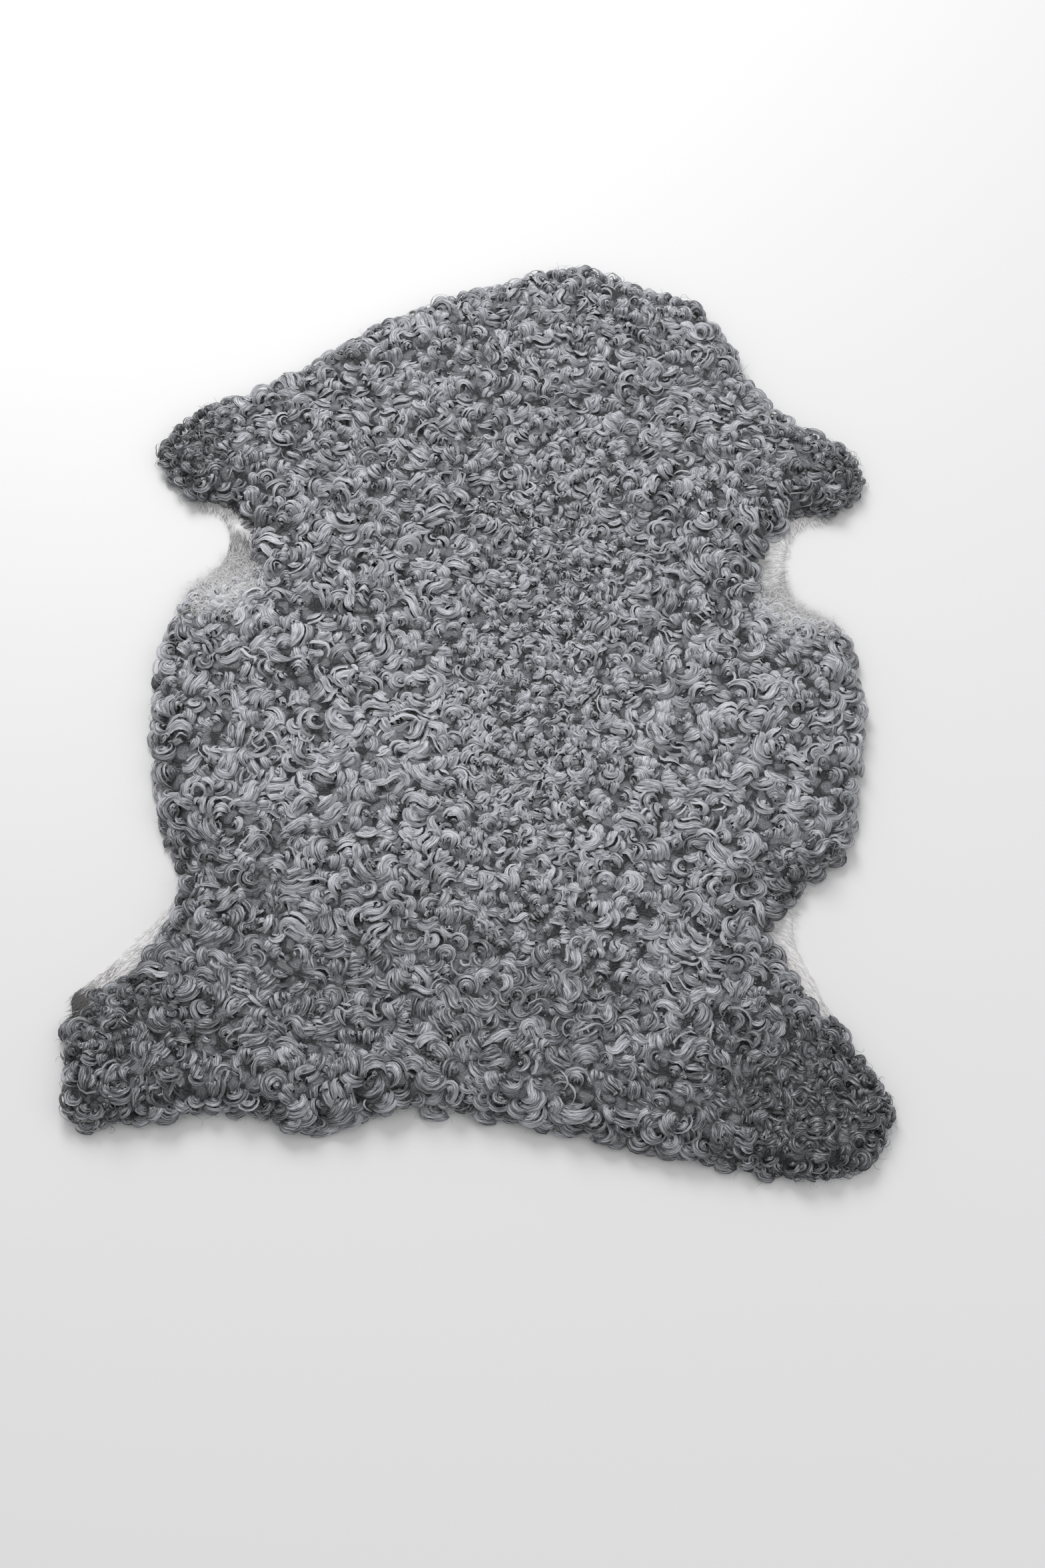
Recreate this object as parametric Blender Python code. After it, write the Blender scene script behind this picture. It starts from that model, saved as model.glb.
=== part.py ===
"""Sheepskin rug: one tanned skin with its curly wool on, lying flat, wool side up.

Metres, +Z up, +Y from the tail to the neck. The skin rests on z = 0 and the origin is the
middle of its box, on the floor. The wool is a lumpy slab, a lump for each clump of curls,
and loose locks curl out of its rim. Bare skin shows in the bays behind the front legs and
before the hind legs.
"""

import math
import random
from collections import namedtuple

import bmesh
import bpy
from mathutils import Vector, geometry, kdtree, noise

SKIN = 0.003          # bare skin with its short hair
RIM = 0.010           # wool where it meets the floor round the rim
PILE = 0.032          # wool away from the rim
RISE = 0.036          # width over which the wool reaches its full height
LUMP = 0.045          # from one clump of curls to the next
LUMP_STRETCH = 1.2    # clumps are this much longer from side to side
LUMP_JITTER = 0.28    # how far a clump strays from its place, as a share of LUMP
DIMPLE = 0.40         # depth between clumps, as a share of the height
DEEPEST = 1.1         # a dimple at the meeting of three clumps, over one between two
SWELL = 0.004         # slow rise and fall of the whole fleece
SWELL_LENGTH = 0.11
TOP_MESH = 0.0158     # pitch of the triangles on the fleece
TOP_JITTER = 0.16     # how far they stray, as a share of the pitch
UNDERSIDE_MESH = 0.075
BLEND = 0.02          # bare strips run out over about this length
BARE_EDGE = 0.008     # width of bare strip at which the rim is skin alone
HALF_FIELD = 0.6      # grids are laid this far each way before the outline trims them

LOCK_WIDTH = 0.013
LOCK_GAP = 0.012
WIDTH_RANGE = (0.85, 1.15)    # each range is a share of the size that it varies
GAP_RANGE = (0.8, 1.3)
LENGTH_RANGE = (0.8, 1.0)
BEND_RANGE = (0.8, 1.1)
LOCK_STRETCH = 1.75   # length of a lock over how far it reaches out
LOCK_BEND = math.radians(112)
LOCK_HOOK = 1.4       # above 1, a lock bends more towards its tip
LOCK_TUFT = 4         # locks that curl the same way
TUFT_GAP = 0.022      # more room where the next tuft curls the other way, towards this one
LOCK_STEPS = 5
LOCK_TIP_WIDTH = 0.30
LOCK_TIP_HEIGHT = 0.45
LOCK_CREST = 0.72     # top of a lock over its foot
SHORTEST_LOCK = 0.011
RIM_WAVE = 0.25       # how unevenly the slab's rim runs, as a share of the locks
RIM_WAVE_LENGTH = 0.04

# Clockwise round the rug as seen from above. x and y are where the wool reaches, or the edge
# of the skin where it is bare. bare is the width of the bare strip there, and lock is how far
# the loose locks stand out of the slab.
Landmark = namedtuple("Landmark", "name x y bare lock")
LANDMARKS = (
    Landmark("neck", 0.020, 0.545, 0.000, 0.014),
    Landmark("nape_right", 0.100, 0.524, 0.000, 0.014),
    Landmark("neck_corner", 0.145, 0.515, 0.000, 0.014),
    Landmark("shoulder_right", 0.202, 0.450, 0.000, 0.014),
    Landmark("elbow_right", 0.247, 0.382, 0.000, 0.014),
    Landmark("front_leg_right", 0.300, 0.353, 0.000, 0.014),
    Landmark("front_top_right", 0.345, 0.333, 0.000, 0.014),
    Landmark("front_tip_right", 0.363, 0.290, 0.000, 0.014),
    Landmark("front_under_right", 0.337, 0.252, 0.000, 0.013),
    Landmark("armpit_top_right", 0.292, 0.226, 0.012, 0.000),
    Landmark("armpit_right", 0.280, 0.178, 0.026, 0.000),
    Landmark("armpit_low_right", 0.292, 0.138, 0.014, 0.000),
    Landmark("fluff_right", 0.340, 0.110, 0.000, 0.006),
    Landmark("ribs_right", 0.366, 0.045, 0.000, 0.013),
    Landmark("belly_right", 0.372, -0.080, 0.000, 0.014),
    Landmark("groin_right", 0.364, -0.160, 0.000, 0.014),
    Landmark("flank_top_right", 0.322, -0.214, 0.004, 0.006),
    Landmark("flank_right", 0.316, -0.250, 0.030, 0.000),
    Landmark("thigh_right", 0.343, -0.305, 0.012, 0.000),
    Landmark("knee_right", 0.380, -0.362, 0.000, 0.010),
    Landmark("hind_tip_right", 0.426, -0.428, 0.000, 0.013),
    Landmark("hind_side_right", 0.415, -0.468, 0.000, 0.014),
    Landmark("hind_heel_right", 0.372, -0.504, 0.000, 0.014),
    Landmark("hind_hem_right", 0.300, -0.506, 0.000, 0.014),
    Landmark("rump_right", 0.205, -0.498, 0.000, 0.014),
    Landmark("tail_right", 0.085, -0.486, 0.000, 0.014),
    Landmark("tail_left", -0.050, -0.488, 0.000, 0.014),
    Landmark("rump_left", -0.145, -0.518, 0.000, 0.015),
    Landmark("hem_left", -0.222, -0.511, 0.000, 0.014),
    Landmark("hind_hem_left", -0.285, -0.528, 0.000, 0.015),
    Landmark("hind_heel_left", -0.365, -0.540, 0.000, 0.014),
    Landmark("hind_side_left", -0.384, -0.475, 0.000, 0.013),
    Landmark("hind_corner_left", -0.394, -0.420, 0.006, 0.000),
    Landmark("thigh_left", -0.345, -0.352, 0.028, 0.000),
    Landmark("flank_top_left", -0.314, -0.292, 0.008, 0.004),
    Landmark("groin_left", -0.338, -0.215, 0.000, 0.014),
    Landmark("belly_left", -0.366, -0.130, 0.000, 0.014),
    Landmark("ribs_left", -0.374, -0.020, 0.000, 0.013),
    Landmark("fluff_left", -0.358, 0.062, 0.000, 0.006),
    Landmark("armpit_low_left", -0.330, 0.108, 0.022, 0.000),
    Landmark("armpit_left", -0.342, 0.152, 0.014, 0.000),
    Landmark("front_under_left", -0.380, 0.166, 0.000, 0.012),
    Landmark("front_tip_left", -0.426, 0.215, 0.000, 0.014),
    Landmark("front_top_left", -0.406, 0.270, 0.000, 0.014),
    Landmark("front_leg_left", -0.322, 0.322, 0.000, 0.014),
    Landmark("elbow_left", -0.256, 0.385, 0.000, 0.014),
    Landmark("shoulder_left", -0.185, 0.448, 0.000, 0.014),
    Landmark("nape_left", -0.080, 0.506, 0.000, 0.014),
)

# Oval stretches where the fleece differs. height multiplies the pile, and curl the depth
# between clumps. Each is full as far as ZONE_CORE of its half sizes, and then fades out.
ZONE_CORE = 0.5
Zone = namedtuple("Zone", "name x y half_width half_length height curl")
ZONES = (
    Zone("spine", 0.020, -0.010, 0.100, 0.330, 0.86, 0.75),
    Zone("fluff_left", -0.310, 0.075, 0.060, 0.040, 0.42, 0.35),
    Zone("fluff_right", 0.300, 0.115, 0.060, 0.035, 0.42, 0.35),
    Zone("hind_leg_right", 0.370, -0.440, 0.070, 0.090, 0.85, 0.80),
)

# The crest of the small fold that the skin makes in the left armpit, from the edge inwards.
Crest = namedtuple("Crest", "x y height")
FOLD = (
    Crest(-0.330, 0.139, 0.007),
    Crest(-0.317, 0.133, 0.009),
    Crest(-0.303, 0.124, 0.008),
)

Sample = namedtuple("Sample", "point outward bare lock along")


def smooth(value):
    value = min(max(value, 0.0), 1.0)
    return value * value * (3 - 2 * value)


def slope(before, here, after):
    """Direction of the outline at a landmark, weighted by the distances to its neighbours."""
    back, ahead = here - before, after - here
    weighted = back * ahead.length / back.length + ahead * back.length / ahead.length
    return weighted / (back.length + ahead.length)


def between(start, end, slope_start, slope_end, t):
    """A point of the smooth curve from start to end."""
    length = (end - start).length
    from_start = 1 - 3 * t * t + 2 * t ** 3
    middle = start * from_start + end * (1 - from_start)
    swing = slope_start * (t - 2 * t * t + t ** 3) + slope_end * (t ** 3 - t * t)
    return middle + swing * length


def outline(steps=20):
    """Closely spaced samples of the slab's rim, set back from the landmarks by the locks."""
    marks = [Vector((mark.x, mark.y)) for mark in LANDMARKS]
    count = len(marks)
    slopes = [slope(marks[i - 1], marks[i], marks[(i + 1) % count]) for i in range(count)]
    reach, bare, lock = [], [], []
    for i, mark in enumerate(LANDMARKS):
        after = (i + 1) % count
        for step in range(steps):
            t = step / steps
            reach.append(between(marks[i], marks[after], slopes[i], slopes[after], t))
            bare.append(mark.bare + (LANDMARKS[after].bare - mark.bare) * smooth(t))
            lock.append(mark.lock + (LANDMARKS[after].lock - mark.lock) * smooth(t))
    samples, along = [], 0.0
    for i, point in enumerate(reach):
        ahead = (reach[(i + 1) % len(reach)] - reach[i - 1]).normalized()
        outward = Vector((-ahead.y, ahead.x))
        wave = 1 + RIM_WAVE * noise.noise(point.to_3d() / RIM_WAVE_LENGTH)
        rim = point - outward * lock[i] * wave
        if samples:
            along += (rim - samples[-1].point).length
        samples.append(Sample(rim, outward, bare[i], lock[i], along))
    return samples


def fleece_at(x, y):
    """How high the pile is and how deep its dimples are here, as shares of the usual."""
    height, curl = 1.0, 1.0
    for zone in ZONES:
        away = math.hypot((x - zone.x) / zone.half_width, (y - zone.y) / zone.half_length)
        share = 1 - smooth(away - ZONE_CORE)
        height += (zone.height - 1) * share
        curl += (zone.curl - 1) * share
    return height, curl


def edge_height(bare):
    """Height of the rim: bare skin where there is a bare strip, and wool elsewhere."""
    return RIM + (SKIN - RIM) * smooth(bare / BARE_EDGE)


def surface_height(x, y, inset, bare, dimple):
    """Height of the fleece at a distance inset from the rim; dimple is 1 between clumps."""
    share, curl = fleece_at(x, y)
    rise = math.sin(math.pi / 2 * min(max((inset - bare) / RISE, 0.0), 1.0))
    pile = PILE * share + SWELL * noise.noise(Vector((x, y, 0.0)) / SWELL_LENGTH)
    height = edge_height(bare) + (pile - edge_height(bare)) * rise
    return height * (1 - DIMPLE * curl * dimple * rise)


def grid(pitch, jitter, luck):
    """A triangular grid over the field, each place moved by up to jitter times the pitch."""
    rows = int(2 * HALF_FIELD / (pitch * math.sqrt(3) / 2))
    columns = int(2 * HALF_FIELD / pitch)
    for row in range(rows):
        for column in range(columns):
            x = (column + (row % 2) / 2) * pitch - HALF_FIELD
            y = row * pitch * math.sqrt(3) / 2 - HALF_FIELD
            yield (
                x + luck.uniform(-jitter, jitter) * pitch,
                y + luck.uniform(-jitter, jitter) * pitch,
            )


def tree_of(places):
    tree = kdtree.KDTree(len(places))
    for i, place in enumerate(places):
        tree.insert((place[0], place[1], 0.0), i)
    tree.balance()
    return tree


def mean_bare(rim, samples, spot, inset):
    """Width of the bare strip along the nearest stretch of rim, without steps."""
    total, weights = 0.0, 0.0
    for found, index, away in rim.find_range(spot, inset + BLEND):
        weight = (inset + BLEND - away) ** 2
        total += weight * samples[index].bare
        weights += weight
    return total / weights


def crown_points(samples):
    """Places on the top of the slab: domes for the clumps, with dimples between them."""
    rim = tree_of([sample.point for sample in samples])
    clumps = tree_of(list(grid(LUMP, LUMP_JITTER, random.Random(5))))
    places = [Vector((crest.x, crest.y, SKIN + crest.height)) for crest in FOLD]
    for x, y in grid(TOP_MESH, TOP_JITTER, random.Random(7)):
        found, index, inset = rim.find((x, y, 0.0))
        sample = samples[index]
        outside = (Vector((x, y)) - sample.point).dot(sample.outward) > 0
        by_fold = min(math.hypot(x - crest.x, y - crest.y) for crest in FOLD)
        if outside or min(inset, by_fold) < TOP_MESH / 2:
            continue
        bare = mean_bare(rim, samples, (x, y, 0.0), inset)
        found, index, away = clumps.find((x / LUMP_STRETCH, y, 0.0))
        dimple = min((away / (LUMP / math.sqrt(3))) ** 2, DEEPEST)
        places.append(Vector((x, y, surface_height(x, y, inset, bare, dimple))))
    return places


def underside_points(samples):
    """A sparse grid inside the rim, so that the flat underside has no long slivers."""
    rim = tree_of([sample.point for sample in samples])
    places = []
    for x, y in grid(UNDERSIDE_MESH, 0.0, random.Random(1)):
        found, index, inset = rim.find((x, y, 0.0))
        sample = samples[index]
        inside = (Vector((x, y)) - sample.point).dot(sample.outward) < 0
        if inside and inset > UNDERSIDE_MESH / 3:
            places.append(Vector((x, y, 0.0)))
    return places


def rim_columns(samples):
    """The rim's corners, each with 1 or -1 where a lock grows between it and the next.

    1 curls clockwise round the rug and -1 the other way.
    """
    girth = samples[-1].along + (samples[0].point - samples[-1].point).length
    luck = random.Random(3)
    columns, along, index, way, tuft, plain = [], 0.0, 0, 1, 0, []
    while along < girth - LOCK_GAP:
        while index < len(samples) - 1 and samples[index].along < along:
            index += 1
        sample = samples[index]
        if plain:
            columns.append((sample, 0))
            along += plain.pop()
            continue
        grows = sample.lock > SHORTEST_LOCK and along < girth - LOCK_WIDTH - TUFT_GAP
        columns.append((sample, way if grows else 0))
        along += LOCK_WIDTH * luck.uniform(*WIDTH_RANGE)
        tuft += 1
        if grows:
            plain = [LOCK_GAP * luck.uniform(*GAP_RANGE)]
        if tuft == LOCK_TUFT:
            if grows and way > 0:
                plain += [TUFT_GAP / 2, TUFT_GAP / 2]
            way, tuft = -way, 0
    return columns


def fill(bm, ring, places):
    """Triangles across a ring of vertices and the loose places inside it."""
    verts = ring + [bm.verts.new(place) for place in places]
    flat = [vert.co.to_2d() for vert in verts]
    found = geometry.delaunay_2d_cdt(flat, [], [list(range(len(ring)))], 1, 1e-7)
    sources = [source[0] for source in found[3]]
    for face in found[2]:
        bm.faces.new([verts[sources[corner]] for corner in face])


def grow_lock(bm, root, length, bend):
    """Draws a wall face out into a lock that curls sideways and narrows, lying on the floor."""
    low_start, low_end, top_end, top_start = root
    side = (low_end.co - low_start.co) / 2
    middle = (low_end.co + low_start.co) / 2
    height = (top_start.co.z + top_end.co.z) / 2
    across = side.normalized()
    outward = Vector((-across.y, across.x, 0.0))
    ring = list(root)
    for step in range(1, LOCK_STEPS + 1):
        t = step / LOCK_STEPS
        angle = bend * t ** LOCK_HOOK
        heading = outward * math.cos(angle) + across * math.sin(angle)
        flank = across * math.cos(angle) - outward * math.sin(angle)
        middle = middle + heading * length / LOCK_STEPS
        wide = side.length * (1 + (LOCK_TIP_WIDTH - 1) * t)
        high = Vector((0.0, 0.0, height * (1 + (LOCK_TIP_HEIGHT - 1) * t)))
        new_ring = [
            bm.verts.new(middle - flank * wide),
            bm.verts.new(middle + flank * wide),
            bm.verts.new(middle + flank * wide * LOCK_CREST + high),
            bm.verts.new(middle - flank * wide * LOCK_CREST + high),
        ]
        for corner in range(4):
            after = (corner + 1) % 4
            bm.faces.new((ring[corner], ring[after], new_ring[after], new_ring[corner]))
        ring = new_ring
    bm.faces.new(ring)


def add_rim(bm, columns, top, low):
    """The wall round the slab, drawn out into a lock where one grows."""
    luck = random.Random(11)
    for i, (sample, way) in enumerate(columns):
        after = (i + 1) % len(columns)
        root = (low[i], low[after], top[after], top[i])
        if way:
            length = sample.lock * LOCK_STRETCH * luck.uniform(*LENGTH_RANGE)
            grow_lock(bm, root, length, way * LOCK_BEND * luck.uniform(*BEND_RANGE))
        else:
            bm.faces.new(root)


def wool_material():
    material = bpy.data.materials.new("grey_wool")
    material.use_nodes = True
    shader = material.node_tree.nodes["Principled BSDF"]
    shader.inputs["Base Color"].default_value = (0.165, 0.165, 0.175, 1.0)
    shader.inputs["Roughness"].default_value = 0.75
    shader.inputs["Metallic"].default_value = 0.0
    return material


def add_sheepskin():
    samples = outline()
    columns = rim_columns(samples)
    bm = bmesh.new()
    low, top = [], []
    for sample, way in columns:
        x, y = sample.point
        low.append(bm.verts.new((x, y, 0.0)))
        top.append(bm.verts.new((x, y, edge_height(sample.bare))))
    fill(bm, top, crown_points(samples))
    fill(bm, low, underside_points(samples))
    add_rim(bm, columns, top, low)
    bmesh.ops.triangulate(bm, faces=bm.faces[:])
    bmesh.ops.recalc_face_normals(bm, faces=bm.faces[:])
    mesh = bpy.data.meshes.new("sheepskin")
    bm.to_mesh(mesh)
    bm.free()
    mesh.materials.append(wool_material())
    mesh.shade_smooth()
    mesh.set_sharp_from_angle(angle=math.radians(60))
    sheepskin = bpy.data.objects.new("sheepskin", mesh)
    bpy.context.scene.collection.objects.link(sheepskin)


def main():
    for old in list(bpy.data.objects):
        bpy.data.objects.remove(old, do_unlink=True)
    add_sheepskin()


main()
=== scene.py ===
import math

import bpy
import numpy as np
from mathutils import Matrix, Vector, kdtree, noise


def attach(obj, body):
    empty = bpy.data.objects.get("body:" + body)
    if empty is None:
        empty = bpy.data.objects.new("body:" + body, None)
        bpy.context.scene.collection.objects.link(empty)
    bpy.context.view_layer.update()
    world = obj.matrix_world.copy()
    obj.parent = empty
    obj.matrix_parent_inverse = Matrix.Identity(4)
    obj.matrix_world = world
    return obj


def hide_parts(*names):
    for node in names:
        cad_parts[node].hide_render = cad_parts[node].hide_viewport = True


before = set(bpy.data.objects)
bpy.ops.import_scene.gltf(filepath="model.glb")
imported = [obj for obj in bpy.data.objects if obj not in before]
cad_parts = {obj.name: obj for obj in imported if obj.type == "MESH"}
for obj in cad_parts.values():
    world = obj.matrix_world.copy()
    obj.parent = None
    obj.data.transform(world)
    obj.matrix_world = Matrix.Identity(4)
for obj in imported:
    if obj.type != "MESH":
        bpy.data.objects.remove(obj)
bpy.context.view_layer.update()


# Small helpers

fullTurn = 6.28  # radians


def smooth(value):
    value = np.clip(value, 0.0, 1.0)
    return value * value * (3 - 2 * value)


def mixed(start, end, share):
    return start + (end - start) * share


def deselectAll():
    bpy.ops.object.select_all(action="DESELECT")


def makeActive(piece):
    deselectAll()
    piece.select_set(True)
    bpy.context.view_layer.objects.active = piece


# Camera, floor and light

cameraView = {
    "place": (0.0522, -0.9963, 1.9168),
    "turn": (24.4064, -2.1956, 6.711),  # degrees
    "lens": 46.19,  # millimetres, on a long side of 36
}


def addCamera():
    data = bpy.data.cameras.new("camera")
    data.lens = cameraView["lens"]
    camera = bpy.data.objects.new("camera", data)
    camera.location = cameraView["place"]
    camera.rotation_euler = [math.radians(angle) for angle in cameraView["turn"]]
    bpy.context.scene.collection.objects.link(camera)
    bpy.context.scene.camera = camera


studio = {
    "floorSize": 12.0,
    "floorColor": (0.80, 0.80, 0.805),
    "floorRoughness": 0.55,
    "skyColor": (1.0, 1.0, 1.0),
    "skyStrength": 0.60,
    "windowPlace": (-1.1, 2.4, 2.3),
    "windowSize": 1.8,
    "windowPower": 77.0,
    "windowColor": (1.0, 0.995, 0.99),
    "fillPlace": (2.6, -0.4, 2.4),
    "fillSize": 2.6,
    "fillPower": 12.0,
}


def addFloor():
    deselectAll()
    bpy.ops.mesh.primitive_plane_add(size=studio["floorSize"], location=(0, 0, -0.0002))
    floor = bpy.context.object
    floor.name = "floor"
    material = bpy.data.materials.new("pale_floor")
    material.use_nodes = True
    shader = material.node_tree.nodes["Principled BSDF"]
    shader.inputs["Base Color"].default_value = (*studio["floorColor"], 1.0)
    shader.inputs["Roughness"].default_value = studio["floorRoughness"]
    floor.data.materials.append(material)


def addAreaLight(name, place, size, power, color):
    data = bpy.data.lights.new(name, "AREA")
    data.shape = "DISK"
    data.size = size
    data.energy = power
    data.color = color
    light = bpy.data.objects.new(name, data)
    light.location = place
    light.rotation_euler = (-Vector(place)).to_track_quat("-Z", "Y").to_euler()
    bpy.context.scene.collection.objects.link(light)


def addLight():
    world = bpy.data.worlds.new("studio")
    world.use_nodes = True
    background = world.node_tree.nodes["Background"]
    background.inputs["Color"].default_value = (*studio["skyColor"], 1.0)
    background.inputs["Strength"].default_value = studio["skyStrength"]
    bpy.context.scene.world = world
    bpy.context.scene.view_settings.view_transform = "Standard"
    addAreaLight(
        "window", studio["windowPlace"], studio["windowSize"], studio["windowPower"], studio["windowColor"]
    )
    addAreaLight("fill", studio["fillPlace"], studio["fillSize"], studio["fillPower"], (1.0, 1.0, 1.0))


addCamera()
addFloor()
addLight()
print("camera, floor and light are in")


# The skin's outline, clockwise from the neck as seen from above

# x and y are where the wool reaches, or the skin's edge where it is bare. bare is the width
# of the bare strip, and lock is how far loose locks stand out past the skin.
landmarks = [
    # name, x, y, bare, lock
    ("neck", 0.020, 0.545, 0.000, 0.014),
    ("napeRight", 0.100, 0.524, 0.000, 0.014),
    ("neckCorner", 0.145, 0.515, 0.000, 0.014),
    ("shoulderRight", 0.202, 0.450, 0.000, 0.014),
    ("elbowRight", 0.247, 0.382, 0.000, 0.014),
    ("frontLegRight", 0.300, 0.353, 0.000, 0.014),
    ("frontTopRight", 0.345, 0.333, 0.000, 0.014),
    ("frontTipRight", 0.363, 0.290, 0.000, 0.014),
    ("frontUnderRight", 0.337, 0.252, 0.000, 0.013),
    ("armpitTopRight", 0.292, 0.226, 0.012, 0.000),
    ("armpitRight", 0.280, 0.178, 0.029, 0.000),
    ("armpitLowRight", 0.292, 0.138, 0.014, 0.000),
    ("fluffRight", 0.340, 0.110, 0.000, 0.006),
    ("ribsRight", 0.366, 0.045, 0.000, 0.013),
    ("bellyRight", 0.372, -0.080, 0.000, 0.014),
    ("groinRight", 0.364, -0.160, 0.000, 0.014),
    ("flankTopRight", 0.322, -0.214, 0.004, 0.006),
    ("flankRight", 0.316, -0.250, 0.025, 0.000),
    ("thighRight", 0.343, -0.305, 0.015, 0.000),
    ("kneeRight", 0.380, -0.362, 0.000, 0.010),
    ("hindTipRight", 0.426, -0.428, 0.000, 0.013),
    ("hindSideRight", 0.415, -0.468, 0.000, 0.014),
    ("hindHeelRight", 0.372, -0.504, 0.000, 0.014),
    ("hindHemRight", 0.300, -0.506, 0.000, 0.014),
    ("rumpRight", 0.205, -0.498, 0.000, 0.014),
    ("tailRight", 0.085, -0.486, 0.000, 0.014),
    ("tailLeft", -0.050, -0.488, 0.000, 0.014),
    ("rumpLeft", -0.145, -0.518, 0.000, 0.015),
    ("hemLeft", -0.222, -0.511, 0.000, 0.014),
    ("hindHemLeft", -0.285, -0.528, 0.000, 0.015),
    ("hindHeelLeft", -0.365, -0.540, 0.000, 0.014),
    ("hindSideLeft", -0.386, -0.475, 0.000, 0.013),
    ("hindEdgeLeft", -0.392, -0.446, 0.000, 0.010),
    ("hindBareLeft", -0.3885, -0.4285, 0.012, 0.000),
    ("hindCornerLeft", -0.3925, -0.4155, 0.019, 0.000),
    ("thighLowLeft", -0.3790, -0.3980, 0.021, 0.000),
    ("thighLeft", -0.345, -0.352, 0.024, 0.000),
    ("flankTopLeft", -0.314, -0.292, 0.007, 0.004),
    ("groinLeft", -0.338, -0.215, 0.000, 0.014),
    ("bellyLeft", -0.366, -0.130, 0.000, 0.014),
    ("ribsLeft", -0.374, -0.020, 0.000, 0.013),
    ("fluffLeft", -0.358, 0.062, 0.000, 0.006),
    ("armpitLowLeft", -0.330, 0.108, 0.027, 0.000),
    ("armpitLeft", -0.342, 0.152, 0.013, 0.000),
    ("frontUnderLeft", -0.380, 0.166, 0.000, 0.012),
    ("frontTipLeft", -0.426, 0.215, 0.000, 0.014),
    ("frontTopLeft", -0.406, 0.270, 0.000, 0.014),
    ("frontLegLeft", -0.322, 0.322, 0.000, 0.014),
    ("elbowLeft", -0.256, 0.385, 0.000, 0.014),
    ("shoulderLeft", -0.185, 0.448, 0.000, 0.014),
    ("napeLeft", -0.080, 0.506, 0.000, 0.014),
]

# Ovals where the fleece differs. size is that of the curls, pile their height, tone how
# light they are and flow how far they lie in rows from side to side.
fleeceZones = [
    # name, x, y, halfWidth, halfLength, size, pile, tone, flow
    ("spine", 0.020, 0.010, 0.095, 0.300, -0.34, -0.14, 0.00, -0.2),
    ("back", 0.020, -0.060, 0.330, 0.200, 0.00, 0.00, 0.120, 0.0),
    ("leftSide", -0.250, -0.150, 0.150, 0.230, 0.16, 0.00, -0.03, 0.8),
    ("rightSide", 0.260, -0.100, 0.130, 0.200, 0.05, 0.00, -0.04, 0.3),
    ("rump", 0.000, -0.460, 0.460, 0.150, 0.10, 0.00, -0.13, 0.3),
    ("frontLegLeft", -0.410, 0.225, 0.080, 0.075, -0.42, -0.10, -0.24, 0.0),
    ("frontLegRight", 0.350, 0.280, 0.080, 0.070, -0.38, -0.10, -0.24, 0.0),
    ("hindLegRight", 0.380, -0.440, 0.140, 0.120, -0.36, -0.15, -0.31, 0.0),
    ("hindLegLeft", -0.380, -0.460, 0.140, 0.110, -0.20, 0.00, -0.16, 0.0),
    ("groinLeft", -0.310, -0.260, 0.060, 0.050, -0.20, -0.10, -0.16, 0.0),
    ("groinRight", 0.310, -0.205, 0.055, 0.045, -0.20, -0.10, -0.16, 0.0),
    ("neck", 0.050, 0.520, 0.200, 0.080, -0.15, 0.00, 0.00, 0.0),
    ("fluffLeft", -0.326, 0.062, 0.052, 0.044, -0.45, -0.55, 0.40, 0.0),
    ("fluffRight", 0.300, 0.122, 0.058, 0.038, -0.45, -0.55, 0.40, 0.0),
]
puffZones = [row for row in fleeceZones if row[0].startswith("fluff")]

fleece = {
    "pile": 0.0315,
    "rimPile": 0.011,
    "rise": 0.036,  # width over which the wool reaches its full height
    "skin": 0.0026,
    "bareEdge": 0.008,  # width of bare strip at which the rim is skin alone
    "zoneCore": 0.45,  # share of a zone that is full
    "zoneFade": 0.9,
    "swell": 0.0025,
    "swellLength": 0.11,
    "clump": 0.0042,
    "clumpLength": 0.028,
    "swirlLength": 0.055,  # width of a patch of locks that lie one way
}


# X, y, outward x, outward y, bare, lock of closely spaced places round the rug.
def outlineCurve(steps=20):
    marks = np.array([row[1:] for row in landmarks])
    spots = marks[:, :2]
    back = spots - np.roll(spots, 1, 0)
    ahead = np.roll(spots, -1, 0) - spots
    longBack = np.linalg.norm(back, axis=1)[:, None]
    longAhead = np.linalg.norm(ahead, axis=1)[:, None]
    slopes = (back * longAhead / longBack + ahead * longBack / longAhead) / (longBack + longAhead)
    t = (np.arange(steps) / steps)[None, :, None]
    start, end = spots[:, None], np.roll(spots, -1, 0)[:, None]
    slopeStart, slopeEnd = slopes[:, None], np.roll(slopes, -1, 0)[:, None]
    fromStart = 1 - 3 * t ** 2 + 2 * t ** 3
    swing = slopeStart * (t - 2 * t ** 2 + t ** 3) + slopeEnd * (t ** 3 - t ** 2)
    places = start * fromStart + end * (1 - fromStart) + swing * longAhead[:, None]
    extra = mixed(marks[:, None, 2:], np.roll(marks, -1, 0)[:, None, 2:], smooth(t))
    places, extra = places.reshape(-1, 2), extra.reshape(-1, 2)
    way = np.roll(places, -1, 0) - np.roll(places, 1, 0)
    way /= np.linalg.norm(way, axis=1)[:, None]
    return np.column_stack((places, -way[:, 1], way[:, 0], extra))


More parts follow.
